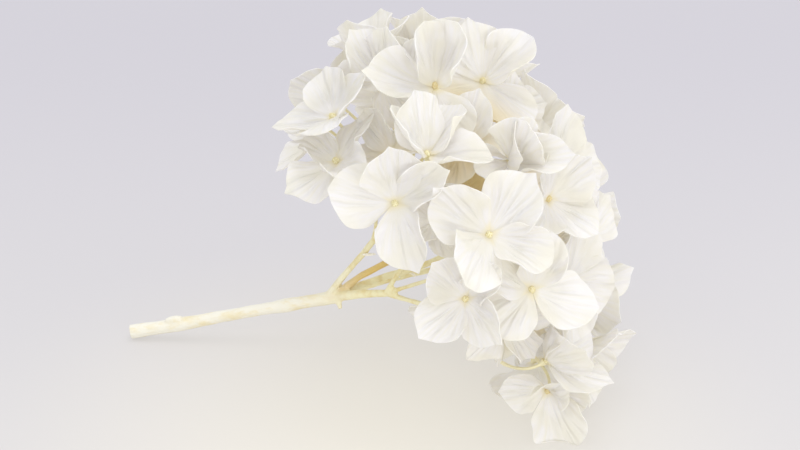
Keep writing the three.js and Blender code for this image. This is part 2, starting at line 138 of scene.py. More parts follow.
class SepalSettings(bpy.types.PropertyGroup):
    """Sizes, curl and colours of the sepals"""

    thickness: length("Thickness", "Thickness of a dried sepal", 0.28 * MM)
    breadth: share("Breadth", "Width of a sepal beside that of its plain solid", 1.19, 2.0)
    overlap: length("Overlap", "How far the outer pair lies under the inner pair", 0.55 * MM)
    ruffle: length("Ruffle", "Depth of the waves along a sepal's edge", 1.3 * MM)
    crease: length("Crease", "Depth of the even folds that fan out from the eye", 0.26 * MM)
    pleat: length("Pleat", "Depth of the few sharp folds", 1.4 * MM)
    curl: length("Curl", "How far tips and edges turn up or down", 2.2 * MM)
    twist: angle("Twist", "Most that a sepal's tip is turned about its midrib", 30)
    folded: share("Folded", "Share of the sepals that have dried half folded", 0.18)
    blade: colour("Blade", "Colour of a sepal", "#F8F7F9")
    heart: colour("Heart", "Colour of a sepal at its claw", "#F6F0D8")
    shade: colour("Cream", "Colour of the faint creamy clouds", "#F5F3EB")
    # painted shade: the creamy colour of sepals deep in the head stands in for the shade and the light that
    # bounces among them
    deep: colour("Deep", "Colour of the sepals deep in the head", "#EAD9A4")
    glow: colour("Glow", "Colour of the light that comes through a sepal", "#FFFDF6")
    through: share("Light Through", "How much of the light goes through", 0.52)


class BudSettings(bpy.types.PropertyGroup):
    """Sizes and colours of the buds"""

    breadth: length("Breadth", "Width of the bud in a floret's eye", 2.4 * MM)
    groove: share("Groove", "Depth of the four grooves, as a share of the radius", 0.16)
    skin: colour("Skin", "Colour of the bud", "#EFE8B8")
    # the colour of the blotches, and painted shade: the colour the grooves are painted for the shade that
    # falls in them
    spot_and_groove_shade: colour("Groove Colour", "Colour deep in the bud's grooves", "#C9B876")
    ripe: colour("Ripe", "Colour of the buds that have browned", "#C9A45E")


class StalkSettings(bpy.types.PropertyGroup):
    """Sizes and colours of the forking stalk and of the florets' own stalks"""

    pedicel: length("Pedicel", "Thickness of a floret's own stalk", 1.05 * MM)
    closing: length("Closing", "Gap between branches that grows over at the forks", 0.32 * MM)
    grain: length("Grain", "Size of the mesh of the stalk", 0.42 * MM)
    knobs: length("Knobs", "Height of the low bumps along the stalk", 0.35 * MM)
    peeled: colour("Peeled", "Colour of the peeled lower stalk", "#E5E0CC")
    patch: colour("Patch", "Colour of the bark that is left in patches", "#DFD1A6")
    branch: colour("Branch", "Colour of the branches", "#E8DFAB")
    deep: colour("Deep", "Colour of the branches where they have darkened", "#D9C47E")
    # painted shade: the middle branch is painted in this colour for the shadow it lies in
    browned: colour("Browned", "Colour of the one branch that has browned", "#CEAC58")
    young: colour("Young", "Colour of the florets' own stalks", "#E8DDAE")


class BractSettings(bpy.types.PropertyGroup):
    """Sizes, places and colours of the bract and the stunted growths"""

    bract_length: length("Bract Length", "Length of the curled bract, laid flat", 9.5 * MM)
    bract_width: length("Bract Width", "Width of the curled bract", 2.8 * MM)
    bract_at: spot("Bract Place", "The bract grows from the branch near here", (0.0122, 0.0277, 0.0211))
    bract_thickness: length("Bract Thickness", "Thickness of the curled bract", 0.3 * MM)
    bud_at: spot("Bud Place", "The stunted bud grows from the branch near here", (0.0027, 0.0067, 0.0486))
    spur_at: spot("Spur Place", "The stunted spur grows from the branch near here", (-0.0044, 0.0133, 0.0359))
    pale: colour("Pale", "Colour of the bract", "#F6F2E4")
    stained: colour("Stained", "Colour of the bract's stains", "#E9E0C2")


class StageSettings(bpy.types.PropertyGroup):
    """The surface, its light and the camera"""

    floor: colour("Floor", "Colour of the surface", "#908C88")
    # painted shade: the surface is painted darker and cooler further back
    far_floor_shade: colour("Far Floor", "Colour of the surface further back", "#726D77")
    # painted light: the surface glows all over, though it is no lamp
    lit: colour("Lit", "Light that the surface gives all over, as a lit table does", "#A2A1A3")
    # painted light: a warmer pool of glow round the point below called the lamp, where no lamp is
    painted_light_pool: colour("Lit Middle", "Light that it gives above its lamp", "#C1BCAC")
    lamp: spot("Lamp", "Where the lamp is below the surface", (0.0, -0.055, 0.0))
    lamp_reach: length("Lamp Reach", "How far the lamp's glow spreads", 0.16)
    room: colour("Room", "Colour of the light that comes from all round", "#F1F4FC")
    room_light: share("Room Light", "Strength of the light that comes from all round", 1.1, 5.0)
    high_key: FloatProperty(
        name="High Key", description="Lifts the shadows as a high-key exposure does",
        default=1.3, min=0.5, max=2.0,
    )
    lens: FloatProperty(name="Lens", description="Focal length", default=124.0, unit="CAMERA")
    distance: length("Distance", "From the camera to the point it looks at", 0.95)
    height: angle("Elevation", "Camera's angle above the surface", 28)
    aim: spot("Aim", "The point the camera looks at", (0.0082, 0.01798, 0.046))


class HydrangeaSettings(bpy.types.PropertyGroup):
    """All the settings of the flower and its stage"""

    sepal: PointerProperty(type=SepalSettings)
    bud: PointerProperty(type=BudSettings)
    stalk: PointerProperty(type=StalkSettings)
    bract: PointerProperty(type=BractSettings)
    stage: PointerProperty(type=StageSettings)


# ---------------------------------------------------------------- helpers


def select_only(*objects):
    """Selects these objects and no others, with the first one active."""
    bpy.ops.object.select_all(action="DESELECT")
    for o in objects:
        o.select_set(True)
    bpy.context.view_layer.objects.active = objects[0]


def primitive(add, name, **sizes):
    """A mesh primitive of the given name, added with nothing else selected."""
    bpy.ops.object.select_all(action="DESELECT")
    add(**sizes)
    made = bpy.context.object
    made.name = made.data.name = name
    return made


def positions(mesh):
    """The places of a mesh's vertices, one row each."""
    co = np.empty(len(mesh.vertices) * 3)
    mesh.vertices.foreach_get("co", co)
    return co.reshape(-1, 3)


def place(mesh, co):
    """Moves a mesh's vertices to the given places."""
    mesh.vertices.foreach_set("co", np.ascontiguousarray(co, dtype=np.float32).ravel())
    mesh.update()


def mark(mesh, name, values):
    """Writes one number for each vertex, which a material reads by its name."""
    layer = mesh.attributes.new(name, "FLOAT", "POINT")
    layer.data.foreach_set("value", np.asarray(values, np.float32))


def copy_of(obj, name):
    """A new object with a mesh of its own, copied from another's."""
    made = bpy.data.objects.new(name, obj.data.copy())
    made.data.name = name
    bpy.context.scene.collection.objects.link(made)
    return made


def finish_modifiers(obj):
    """Applies an object's modifiers to its mesh."""
    select_only(obj)
    for m in list(obj.modifiers):
        bpy.ops.object.modifier_apply(modifier=m.name)


def thicken(obj, thickness):
    """Gives a sheet its thickness, half on each side."""
    skin = obj.modifiers.new("thickness", "SOLIDIFY")
    skin.thickness = thickness
    skin.offset = 0.0
    finish_modifiers(obj)


def face_outward(obj):
    """Turns all faces of a closed piece outward."""
    select_only(obj)
    bpy.ops.object.mode_set(mode="EDIT")
    bpy.ops.mesh.select_all(action="SELECT")
    bpy.ops.mesh.normals_make_consistent(inside=False)
    bpy.ops.object.mode_set(mode="OBJECT")


def unit(vectors):
    """Vectors of length 1 in the same directions."""
    return vectors / np.linalg.norm(vectors, axis=-1, keepdims=True)


def hand_over(obj, material, slot, *nodes):
    """Gives a finished piece its material and its body, and hides the plain solids of the nodes it stands
    for. The slot it is handed is not used.
    """
    obj.data.materials.clear()
    obj.data.materials.append(material)
    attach(obj, "root")
    if nodes:
        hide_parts(*nodes)


def new_material(name):
    """An empty node material and its tree."""
    made = bpy.data.materials.new(name)
    made.use_nodes = True
    made.node_tree.nodes.clear()
    return made, made.node_tree


def add_node(tree, kind, inputs=None, **settings):
    """A shader node with its settings. An input takes a value, a socket, or the node that feeds it."""
    node = tree.nodes.new(kind)
    for name, value in settings.items():
        setattr(node, name, value)
    for name, value in (inputs or {}).items():
        # of several sockets with one name, the settings leave one in use
        socket = node.inputs[name] if isinstance(name, int) else in_use(node.inputs, name)
        if isinstance(value, bpy.types.Node):
            value = in_use(value.outputs)
        if isinstance(value, bpy.types.NodeSocket):
            tree.links.new(value, socket)
        elif socket.type == "RGBA":
            socket.default_value = (*value, 1.0)
        else:
            socket.default_value = value
    return node


def in_use(sockets, name=None):
    """The first socket that the node's settings leave in use, of the given name if there is one."""
    return next(s for s in sockets if s.enabled and name in (None, s.name))


def layered(tree, ground, *layers):
    """A colour with others laid over it. Each layer is what it follows, the value of that at which it
    begins to show, the value at which it covers all, and its colour."""
    for source, begins, covers, tint in layers:
        cover = add_node(
            tree, "ShaderNodeMapRange", {"Value": source, "From Min": begins, "From Max": covers},
            interpolation_type="SMOOTHSTEP",
        )
        ground = add_node(tree, "ShaderNodeMix", {"Factor": cover, "A": ground, "B": tint}, data_type="RGBA")
    return ground


# ---------------------------------------------------------------- reading a floret


def ring_order(ring):
    """The vertices of one ring of the skin, in turn."""
    members = set(ring)
    order = [ring[0]]
    while len(order) < len(ring):
        here = order[-1]
        near = [e.other_vert(here) for e in here.link_edges]
        order.append(next(v for v in near if v in members and v not in order))
    return order


class Floret:
    """Where a floret's eye, its four sepals and its stalk lie, read from its plain solid."""

    def __init__(self, node):
        skin = bmesh.new()
        skin.from_mesh(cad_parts[node].data)
        bmesh.ops.remove_doubles(skin, verts=skin.verts, dist=1e-6)
        poles = [v for v in skin.verts if len(v.link_edges) == 8]
        apex = max(poles, key=lambda v: sum(e.calc_length() for e in v.link_edges))
        # rings of the skin from the bud's tip to the stalk's foot: 2 is round the eye, 3 and 6 are over
        # and under the sepals' middles, 4 and 5 over and under their rim, and the rest are the stalk
        rings, seen = [[apex]], {apex}
        while True:
            near = []
            for v in rings[-1]:
                for e in v.link_edges:
                    w = e.other_vert(v)
                    if w not in seen:
                        seen.add(w)
                        near.append(w)
            if not near:
                break
            rings.append(near)

        def at(ring):
            return np.array([v.co[:] for v in ring_order(ring)])

        eye_ring = at(rings[2])
        self.apex = np.array(apex.co[:])
        self.face = unit(self.apex - eye_ring.mean(0))
        self.eye = eye_ring.mean(0) - EYE_DEPTH * self.face
        self.rim = self.turned(self.between(at(rings[4]), at(rings[5])))
        mid = self.between(at(rings[3]), at(rings[6]))
        far = np.linalg.norm(self.rim - self.eye, axis=1)
        first = max(range(4), key=lambda i: far[i::4].mean() - far[(i + 2) % 4 :: 4].mean())
        self.rim = np.roll(self.rim, -first, axis=0)
        self.tips = self.rim[0::4]
        self.rights = self.rim[1::4]
        self.lefts = np.roll(self.rim[3::4], 1, axis=0)
        self.mids = [self.toward(mid, t) for t in self.tips]
        neck = [at(r).mean(0) for r in rings[7:-1]]
        self.stalk = np.array([self.eye, *neck, np.array(rings[-1][0].co[:])])
        skin.free()

    def between(self, over, under):
        """The middle of the skin's thickness at each point of a ring."""
        gap = np.linalg.norm(over[:, None] - under[None], axis=2)
        return (over + under[gap.argmin(1)]) / 2

    def turned(self, ring):
        """The ring in counter-clockwise order about the face."""
        spin = sum(np.cross(a - self.eye, b - self.eye) for a, b in zip(ring, np.roll(ring, -1, 0)))
        return ring if spin @ self.face > 0 else ring[::-1]

    def toward(self, ring, point):
        """The point of the ring that lies in the same bearing from the eye."""
        ways = unit(self.flattened(ring - self.eye))
        return ring[(ways @ self.flattened(point - self.eye)).argmax()]

    def flattened(self, ways):
        """The ways without what they have along the face."""
        return ways - (ways @ self.face)[..., None] * self.face


# ---------------------------------------------------------------- sepals


def sepal_outline(t):
    """Place along a sepal and half its width there, for t from claw to tip."""
    t = np.asarray(t, float)
    widest, turn = 0.6, 0.52
    low = np.clip(t / turn, 0, 1)
    high = np.clip((t - turn) / (1 - turn), 0, 1) * math.pi / 2
    along = np.where(t < turn, widest * low, widest + (1 - widest) * np.sin(high))
    along = along + 0.03 * (high / (math.pi / 2)) ** 6
    wide = np.where(t < turn, 0.13 + 0.87 * np.sin(low * math.pi / 2) ** 0.95, np.cos(high) ** 0.92)
    return along, np.maximum(wide, 0.012)


def sepal_blank():
    """One flat sepal of length 1 and half width 1, from which all are copied and curled."""
    blank = primitive(
        bpy.ops.mesh.primitive_grid_add, "sepal_blank",
        x_subdivisions=SEPAL_COLUMNS, y_subdivisions=SEPAL_ROWS, size=2,
    )
    co = positions(blank.data)
    along, wide = sepal_outline((co[:, 1] + 1) / 2)
    co[:, 0] *= wide
    co[:, 1] = along
    place(blank.data, co)
    return blank


def own_outline(x, y, rng):
    """One sepal's own outline, from the common one, and how near the tip each point is. Most sepals end
    in a small point, some are drawn out, and no edge runs quite true."""
    top = np.clip((y - 0.55) / 0.45, 0, 1)
    y = y + rng.uniform(0.0, 0.08) * top ** 2 * np.exp(-((x / 0.16) ** 2))
    x = x * (1 - rng.choice((0.0, 0.06, 0.12, 0.24)) * top)
    for sign in (-1, 1):
        waver = 1 + 0.04 * np.sin(2 * math.pi * rng.uniform(1.2, 2.6) * y + rng.uniform(0, FULL_TURN))
        x = np.where(sign * x > 0, x * waver, x)
    return x + rng.uniform(-0.09, 0.09) * (1 - x * x) * y, y, top


def midrib(y, *anchors):
    """Points and directions on the smooth curve through a sepal's claw, middle and tip."""
    s = MIDDLE
    weights = ((y - s) * (y - 1) / s, y * (y - 1) / (s * (s - 1)), y * (y - s) / (1 - s))
    slopes = ((2 * y - s - 1) / s, (2 * y - 1) / (s * (s - 1)), (2 * y - s) / (1 - s))
    rib = sum(w[:, None] * p for w, p in zip(weights, anchors))
    run = sum(w[:, None] * p for w, p in zip(slopes, anchors))
    return rib, unit(run)


def cupped(x, y, half, plain, look, rng):
    """Places across and above a blade that is bent round its midrib: the bend of the plain solid and the
    sepal's own, which is strong where it has dried half folded."""
    own = rng.uniform(-0.25, 0.75) if rng.random() > look.folded else rng.uniform(1.0, 1.5)
    bend = np.clip(2 * plain / half + own, -0.5, 1.7) * (0.55 + 0.55 * np.sin(np.clip(y, 0, 1) * math.pi))
    bend = np.where(np.abs(bend) < 0.02, 0.02, bend)
    return half * np.sin(bend * x) / bend, half * (1 - np.cos(bend * x)) / bend


def ruffles(x, y, top, look, rng):
    """Height of a slow wave and a quick one along each edge, and of the rolled tip and edge."""
    high = np.zeros_like(x)
    rise = np.clip(y * 1.4, 0, 1)
    for sign in (-1, 1):
        edge = np.clip(sign * x, 0, 1)
        slow = np.sin(2 * math.pi * rng.uniform(0.8, 1.6) * y + rng.uniform(0, FULL_TURN))
        quick = np.sin(2 * math.pi * rng.uniform(2.6, 4.2) * y + rng.uniform(0, FULL_TURN))
        high += look.ruffle * rng.uniform(0.4, 1.25) * edge ** 2 * rise * slow
        high += 0.3 * look.ruffle * rng.uniform(0.3, 1.2) * edge ** 4 * rise * quick
    # the tip rolls forward or back, and now and then an edge rolls in
    high += look.curl * rng.uniform(-1.0, 0.8) * top ** 2
    rolled = 3 * look.curl * rng.uniform(0.0, 1.3)
    high += rolled * np.clip(rng.choice((-1, 1)) * x - 0.45, 0, 1) ** 2 * y
    return high


def folds(x, y, half, reach, look, rng):
    """Height of the folds that fan out from the claw: a fine even set, two to four sharp ones, and a
    soft keel along the midrib."""
    fan = np.arctan2(x * half, np.maximum(y, 0.02) * reach)
    beat = rng.uniform(8.5, 12.5)
    depth = look.crease * np.clip(y * 2.2, 0, 1) * np.clip(1.5 - y, 0, 1)
    high = depth * np.sin(beat * fan + rng.uniform(0, FULL_TURN))
    high += 0.55 * depth * np.sin(2.7 * beat * fan + rng.uniform(0, FULL_TURN))
    for _ in range(rng.choice((2, 3, 4))):
        line = rng.uniform(-0.6, 0.6)
        wide = rng.uniform(0.07, 0.14)
        ridge = np.clip(1 - np.abs(fan - line) / wide, 0, 1)
        high += look.pleat * rng.uniform(-1, 1) * ridge * np.clip(y * 2.5, 0, 1) * np.clip(1.25 - y, 0, 1)
    keel = np.exp(-((x / 0.09) ** 2)) * np.clip(y * 3, 0, 1) * np.clip(1.1 - y, 0, 1)
    return high - 1.3 * look.crease * keel


def curl_sepal(flat, floret, k, rng, look):
    """Lays the flat sepal along the k-th arm of a floret, with its cup, twist, folds and ruffled edge."""
    tip, mid, right, left = floret.tips[k], floret.mids[k], floret.rights[k], floret.lefts[k]
    reach = np.linalg.norm(tip - floret.eye)
    half = np.linalg.norm(left - right) / 2 * look.breadth * rng.uniform(0.93, 1.05)
    x, y, top = own_outline(flat[:, 0], flat[:, 1], rng)
    start = floret.eye + CLAW * unit(mid - floret.eye)
    tip = floret.eye + (tip - floret.eye) * rng.uniform(0.97, 1.09)
    rib, run = midrib(y, start, mid, tip)
    side = np.broadcast_to(unit(left - right), run.shape)
    side = unit(side - (run * side).sum(1)[:, None] * run)
    up = np.cross(side, run)
    if (up @ floret.face).mean() < 0:
        up = -up
    # twist about the midrib, more toward the tip
    twist = (look.twist * rng.uniform(-1, 1) * np.clip(y, 0, 1))[:, None]
    side, up = side * np.cos(twist) + up * np.sin(twist), up * np.cos(twist) - side * np.sin(twist)
    shoulder = np.abs(y - SHOULDER).argmin()
    plain = float(np.clip(((left + right) / 2 - rib[shoulder]) @ up[shoulder], -1.5 * MM, 3.5 * MM))
    across, high = cupped(x, y, half, plain, look, rng)
    high += ruffles(x, y, top, look, rng)
    high += folds(x, y, half, reach, look, rng)
    # the inner pair of sepals lies over the outer pair
    inner = k % 2 == 0
    high += look.overlap * (0.5 if inner else -0.5) * np.sin(np.clip(y * 1.05, 0, 1) * math.pi) ** 0.7
    high += (0.35 if inner else 0.05) * MM * np.clip(1 - y * 4, 0, 1)
    co = rib + side * across[:, None] + up * high[:, None]
    # no sepal goes below the surface
    co[:, 2] = np.maximum(co[:, 2], look.thickness * 0.6)
    return co


class Shell:
    """The round shell on which the florets' eyes lie, to tell how deep in the head a point is, for the
    painted shade of the sepals.
    """

    def __init__(self, eyes):
        self.middle = eyes.mean(0)
        away = eyes - self.middle
        self.radii = np.linalg.norm(away, axis=1)
        self.ways = unit(away)

    def depth(self, co):
        """0 at or outside the shell and 1 at the depth where the sepals' painted shade is strongest."""
        away = co - self.middle
        radius = np.linalg.norm(away, axis=1)
        # the eyes that lie in nearly the same direction count most
        near = np.exp(12 * (unit(away) @ self.ways.T - 1))
        shell = (near @ self.radii) / near.sum(1)
        return np.clip((shell - radius) / PAINTED_SHADE_DEPTH, 0, 1)


def sepal_material(look):
    """Dried hydrangea sepal: bleached and waxed tissue, thin and cloudy, so light glows through it;
    the eye sees soft white with fine radiating veins, and painted shade, a creamy tint, where sepals lie deep
    in the head and overlap."""
    made, tree = new_material("dried_sepal")
    where = add_node(tree, "ShaderNodeTexCoord").outputs
    outward = add_node(tree, "ShaderNodeSeparateXYZ", {"Vector": where["UV"]}).outputs["Y"]
    fan = add_node(tree, "ShaderNodeAttribute", attribute_name="fan").outputs["Fac"]
    along = add_node(tree, "ShaderNodeAttribute", attribute_name="along").outputs["Fac"]
    # how deep in the head each point lies, which sets the painted shade
    painted_shade_depth = add_node(tree, "ShaderNodeAttribute", attribute_name="depth").outputs["Fac"]
    # veins fan out from the claw: half way along a sepal 18 mm wide and 20 mm long they lie 1 to 2 mm
    # apart, and each runs for about 14 mm
    polar = add_node(tree, "ShaderNodeCombineXYZ", {"X": fan, "Y": along})
    vein_place = add_node(tree, "ShaderNodeMapping", {"Vector": polar, "Scale": (8.0, 1.4, 1.0)})
    veins = add_node(
        tree, "ShaderNodeTexNoise",
        {"Vector": vein_place, "Scale": 1.0, "Detail": 3.0, "Roughness": 0.62, "Distortion": 0.25},
    )
    # and a few broad creases among them, 2 to 4 mm apart
    crease_place = add_node(tree, "ShaderNodeMapping", {"Vector": polar, "Scale": (2.6, 0.9, 1.0)})
    creases = add_node(
        tree, "ShaderNodeTexVoronoi", {"Vector": crease_place, "Scale": 1.0, "Randomness": 1.0},
        feature="DISTANCE_TO_EDGE", voronoi_dimensions="2D",
    )
    # the net between the veins, in cells 1.4 mm wide and 2.2 mm long
    net_place = add_node(tree, "ShaderNodeMapping", {"Vector": where["UV"], "Scale": (13.0, 9.0, 1.0)})
    net = add_node(
        tree, "ShaderNodeTexVoronoi", {"Vector": net_place, "Scale": 1.0, "Randomness": 0.9},
        feature="DISTANCE_TO_EDGE", voronoi_dimensions="2D",
    )
    # clouds 12 mm across
    clouds = add_node(
        tree, "ShaderNodeTexNoise", {"Vector": where["Object"], "Scale": 85.0, "Detail": 2.0}
    )
    base = layered(
        tree, look.blade,
        (clouds, 0.42, 0.68, look.shade),
        (veins, 0.35, 0.75, look.shade),
        # painted shade: the deeper in the head, the more the sepals take the deep cream colour
        (painted_shade_depth, 0.1, 1.15, look.deep),
        (outward, 0.13, 0.0, look.heart),
    )
    cell = add_node(tree, "ShaderNodeMath", {0: net, 1: 0.12}, operation="MINIMUM")
    relief = add_node(tree, "ShaderNodeMath", {0: cell, 1: 0.35}, operation="MULTIPLY")
    height = add_node(tree, "ShaderNodeMath", {0: veins, 1: relief}, operation="ADD")
    folded = add_node(
        tree, "ShaderNodeMapRange", {"Value": creases, "From Min": 0.0, "From Max": 0.3},
        interpolation_type="SMOOTHSTEP",
    )
    # the relief runs out towards the claw, where the tissue is smooth
    relief_here = add_node(
        tree, "ShaderNodeMapRange", {"Value": outward, "From Min": 0.06, "From Max": 0.5},
        interpolation_type="SMOOTHSTEP",
    )
    veins_here = add_node(tree, "ShaderNodeMath", {0: relief_here, 1: 0.4}, operation="MULTIPLY")
    vein_bump = add_node(
        tree, "ShaderNodeBump", {"Height": height, "Strength": veins_here, "Distance": 0.28 * MM}
    )
    bump = add_node(
        tree, "ShaderNodeBump",
        {"Height": folded, "Strength": relief_here, "Distance": 0.34 * MM, "Normal": vein_bump},
    )
    body = add_node(
        tree, "ShaderNodeBsdfPrincipled",
        {"Base Color": base, "Roughness": 0.58, "IOR": 1.42, "Specular IOR Level": 0.3, "Normal": bump},
    )
    lit = add_node(
        tree, "ShaderNodeMix", {"Factor": 1.0, "A": base, "B": look.glow}, data_type="RGBA",
        blend_type="MULTIPLY",
    )
    behind = add_node(tree, "ShaderNodeBsdfTranslucent", {"Color": lit, "Normal": bump})
    mixed = add_node(tree, "ShaderNodeMixShader", {0: look.through, 1: body, 2: behind})
    add_node(tree, "ShaderNodeOutputMaterial", {"Surface": mixed})
    return made


class HYDRANGEA_OT_sepals(bpy.types.Operator):
    """Builds the four overlapping sepals of every floret"""

    bl_idname = "hydrangea.sepals"
    bl_label = "Sepals"

    def execute(self, context):
        look = context.scene.hydrangea.sepal
        material = sepal_material(look)
        blank = sepal_blank()
        flat = positions(blank.data)
        fan = np.arctan2(flat[:, 0], flat[:, 1] + 0.06)
        florets = {node: Floret(node) for node in FLORETS}
        shell = Shell(np.array([f.eye for f in florets.values()]))
        for node, floret in florets.items():
            rng = random.Random(node)
            four = []
            for k in range(4):
                sepal = copy_of(blank, f"sepal_{k}")
                co = curl_sepal(flat, floret, k, rng, look)
                place(sepal.data, co)
                # how deep in the head each point lies, for the sepals' painted shade
                mark(sepal.data, "depth", shell.depth(co))
                mark(sepal.data, "fan", fan)
                mark(sepal.data, "along", flat[:, 1] + 20 * rng.random())
                four.append(sepal)
            select_only(*four)
            bpy.ops.object.join()
            whorl = four[0]
            whorl.name = whorl.data.name = node.replace("floret", "sepals")
            thicken(whorl, look.thickness)
            bpy.ops.object.shade_smooth_by_angle(angle=math.radians(55))
            hand_over(whorl, material, "sepal", node)
        bpy.data.objects.remove(blank)
        return {"FINISHED"}


# ---------------------------------------------------------------- buds


def shape_bud(ball, floret, rng, look):
    """Places of a bud's points and how deep in a groove each is: a ball made into a low dome in four
    parts that meet at its tip."""
    across = unit(floret.flattened(floret.tips[0] - floret.eye))
    over = np.cross(floret.face, across)
    z = ball[:, 2]
    lobe = np.abs(np.sin(2 * np.arctan2(ball[:, 1], ball[:, 0])))
    deep = (1 - lobe) ** 3 * np.clip(z + 0.3, 0, 1)
    swell = (1 - look.groove * deep) * (1 + 0.06 * lobe ** 5 * np.clip(1 - z, 0, 1) ** 0.3)
    radius = look.breadth / 2 * rng.uniform(0.88, 1.08)
    high = np.linalg.norm(floret.apex - floret.eye) * rng.uniform(0.9, 1.0)
    up = np.where(z > 0, z * high * 0.72, z * 0.9 * MM) + 0.28 * high
    out = swell * radius * np.where(z > 0, 1 - 0.12 * z * z, 1.0)
    level = across * (ball[:, 0] * out)[:, None] + over * (ball[:, 1] * out)[:, None]
    return floret.eye + level + floret.face * up[:, None], deep


def bud_material(look):
    """Dried flower bud: a leathery green-yellow knob; the eye sees a small dull bead
    with painted shade in its grooves, in a darker brown."""
    made, tree = new_material("dried_bud")
    where = add_node(tree, "ShaderNodeTexCoord").outputs
    ripe = add_node(tree, "ShaderNodeAttribute", attribute_name="ripe").outputs["Fac"]
    hollow = add_node(tree, "ShaderNodeAttribute", attribute_name="groove").outputs["Fac"]
    # blotches half a millimetre across
    spots = add_node(
        tree, "ShaderNodeTexNoise", {"Vector": where["Object"], "Scale": 1800.0, "Detail": 2.0}
    )
    base = layered(tree, look.skin, (spots, 0.4, 0.75, look.spot_and_groove_shade))
    # the browned buds, and painted shade deep in the grooves
    for share_here, tint in ((ripe, look.ripe), (hollow, look.spot_and_groove_shade)):
        base = add_node(tree, "ShaderNodeMix", {"Factor": share_here, "A": base, "B": tint}, data_type="RGBA")
    bump = add_node(tree, "ShaderNodeBump", {"Height": spots, "Strength": 0.4, "Distance": 0.08 * MM})
    body = add_node(
        tree, "ShaderNodeBsdfPrincipled",
        {"Base Color": base, "Roughness": 0.6, "Specular IOR Level": 0.3, "Normal": bump},
    )
    add_node(tree, "ShaderNodeOutputMaterial", {"Surface": body})
    return made


class HYDRANGEA_OT_buds(bpy.types.Operator):
    """Builds the small closed bud in the eye of every floret"""

    bl_idname = "hydrangea.buds"
    bl_label = "Buds"

    def execute(self, context):
        look = context.scene.hydrangea.bud
        material = bud_material(look)
        blank = primitive(
            bpy.ops.mesh.primitive_uv_sphere_add, "bud_blank", segments=24, ring_count=12, radius=1
        )
        ball = positions(blank.data)
        for node in FLORETS:
            co, deep = shape_bud(ball, Floret(node), random.Random(node + "bud"), look)
            bud = copy_of(blank, node.replace("floret", "bud"))
            place(bud.data, co)
            # how deep in a groove each point lies, for the painted shade in the grooves
            mark(bud.data, "groove", deep * 0.9)
            # half the buds are green and few are brown
            ripe = random.Random(node + "ripe").choice((0.0, 0.0, 0.1, 0.2, 0.5))
            mark(bud.data, "ripe", np.full(len(ball), ripe))
            select_only(bud)
            bpy.ops.object.shade_smooth()
            hand_over(bud, material, "sepal", node)
        bpy.data.objects.remove(blank)
        return {"FINISHED"}


# ---------------------------------------------------------------- pedicels


def pedicel_blank():
    """A straight stalk of length 1 and radius 1, extruded ring by ring."""
    blank = primitive(
        bpy.ops.mesh.primitive_circle_add, "pedicel_blank",
        vertices=PEDICEL_SIDES, radius=1, fill_type="NGON",
    )
    bpy.ops.object.mode_set(mode="EDIT")
    bpy.ops.mesh.select_all(action="SELECT")
    for _ in range(PEDICEL_STEPS):
        bpy.ops.mesh.extrude_region_move(TRANSFORM_OT_translate={"value": (0, 0, 1 / PEDICEL_STEPS)})
    bpy.ops.object.mode_set(mode="OBJECT")
    face_outward(blank)
    return blank


def along_path(points, shares):
    """Points and directions at shares of the length of a smooth curve along the given points, and
    its length."""
    step = np.linalg.norm(np.diff(points, axis=0), axis=1)
    at = np.concatenate([[0], np.cumsum(step)]) / step.sum()
    order = min(3, len(points) - 1)
    fit = [np.polyfit(at, points[:, i], order) for i in range(3)]
    here = np.stack([np.polyval(f, shares) for f in fit], -1)
    way = np.stack([np.polyval(np.polyder(f), shares) for f in fit], -1)
    return here, unit(way), step.sum()


def shape_pedicel(straight, floret, look):
    """Places of the points of a floret's stalk, from its foot in the branch up to the eye."""
    points = floret.stalk.copy()
    points[-1] += PEDICEL_FOOT * unit(points[-1] - points[-2])
    down = 1 - straight[:, 2]
    here, way, whole = along_path(points, np.clip(down, 0, 1))
    first = unit(np.cross(way, floret.tips[0] - floret.eye))
    second = np.cross(way, first)
    # a thicker foot, the cup where the stalk widens into the floret, and a node near the foot
    radius = look.pedicel / 2 * (1 + 0.22 * np.clip(down * 2 - 1, 0, 1) ** 2)
    radius += 0.95 * MM * np.exp(-((down * whole / (1.25 * MM)) ** 2))
    radius += 0.12 * MM * np.exp(-(((down * whole - whole * 0.72) / (0.9 * MM)) ** 2))
    return here + first * (straight[:, 0] * radius)[:, None] + second * (straight[:, 1] * radius)[:, None]


def pedicel_material(look):
    """Dried pedicel: thin peeled stalk, cream with a green-yellow cast and fine ribs along it."""
    made, tree = new_material("dried_pedicel")
    where = add_node(tree, "ShaderNodeTexCoord").outputs
    # blotches 2.5 mm across
    mottle = add_node(
        tree, "ShaderNodeTexNoise", {"Vector": where["Object"], "Scale": 420.0, "Detail": 3.0}
    )
    # ribs 0.25 mm apart round the stalk
    rib_place = add_node(tree, "ShaderNodeMapping", {"Vector": where["UV"], "Scale": (14.0, 3.0, 1.0)})
    ribs = add_node(tree, "ShaderNodeTexNoise", {"Vector": rib_place, "Scale": 1.0, "Detail": 2.0})
    base = layered(tree, look.young, (mottle, 0.35, 0.7, look.branch))
    bump = add_node(tree, "ShaderNodeBump", {"Height": mottle, "Strength": 0.5, "Distance": 0.1 * MM})
    fine = add_node(
        tree, "ShaderNodeBump", {"Height": ribs, "Strength": 0.4, "Distance": 0.08 * MM, "Normal": bump}
    )
    body = add_node(
        tree, "ShaderNodeBsdfPrincipled",
        {"Base Color": base, "Roughness": 0.62, "Specular IOR Level": 0.3, "Normal": fine},
    )
    add_node(tree, "ShaderNodeOutputMaterial", {"Surface": body})
    return made


